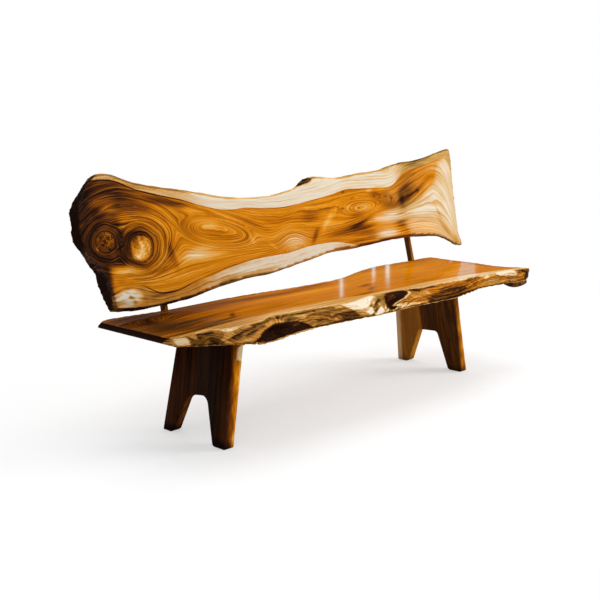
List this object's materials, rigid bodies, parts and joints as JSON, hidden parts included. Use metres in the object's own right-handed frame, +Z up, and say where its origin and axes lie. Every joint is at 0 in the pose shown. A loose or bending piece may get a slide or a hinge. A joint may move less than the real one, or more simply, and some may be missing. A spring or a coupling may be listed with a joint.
{
  "type": "rustic log bench",
  "caption": "Live-edge slab bench: a waney-edged seat on splayed plank legs with arched feet, and a leaning live-edge slab back on slim posts.",
  "frame": {"origin": "on the floor, at the middle of the overall box", "axes": "+X along the bench towards the sitter's left (the picture's right), -Y the seat's front, +Z up"},
  "size_m": [2.1484, 0.6923, 0.9699],
  "materials": {
    "seat_wood": "clear gloss lacquer over amber heartwood, pale sapwood at the front live edge",
    "back_wood": "clear gloss lacquer over amber heartwood with knots and pale sapwood edges",
    "leg_wood": "satin lacquer over dark brown heartwood",
    "post_wood": "satin lacquer over brown heartwood",
    "dowel_wood": "bare turned wood",
    "steel": "zinc plated"
  },
  "bodies": {
    "root": {"seat_slab": "seat_wood", "back_slab": "back_wood", "left_leg_front_board": "leg_wood", "left_leg_rear_board": "leg_wood", "left_leg_dowels": "dowel_wood", "left_cleat": "leg_wood", "left_post": "post_wood", "left_cleat_seat_screws": "steel", "left_cleat_leg_screws": "steel", "left_post_seat_screws": "steel", "left_post_back_bolts": "steel", "left_post_washers": "steel", "left_bracket_screws": "steel", "left_post_bracket": "steel", "right_leg_front_board": "leg_wood", "right_leg_rear_board": "leg_wood", "right_leg_dowels": "dowel_wood", "right_cleat": "leg_wood", "right_post": "post_wood", "right_cleat_seat_screws": "steel", "right_cleat_leg_screws": "steel", "right_post_seat_screws": "steel", "right_post_back_bolts": "steel", "right_post_washers": "steel", "right_bracket_screws": "steel", "right_post_bracket": "steel"}
  },
  "joints": []
}
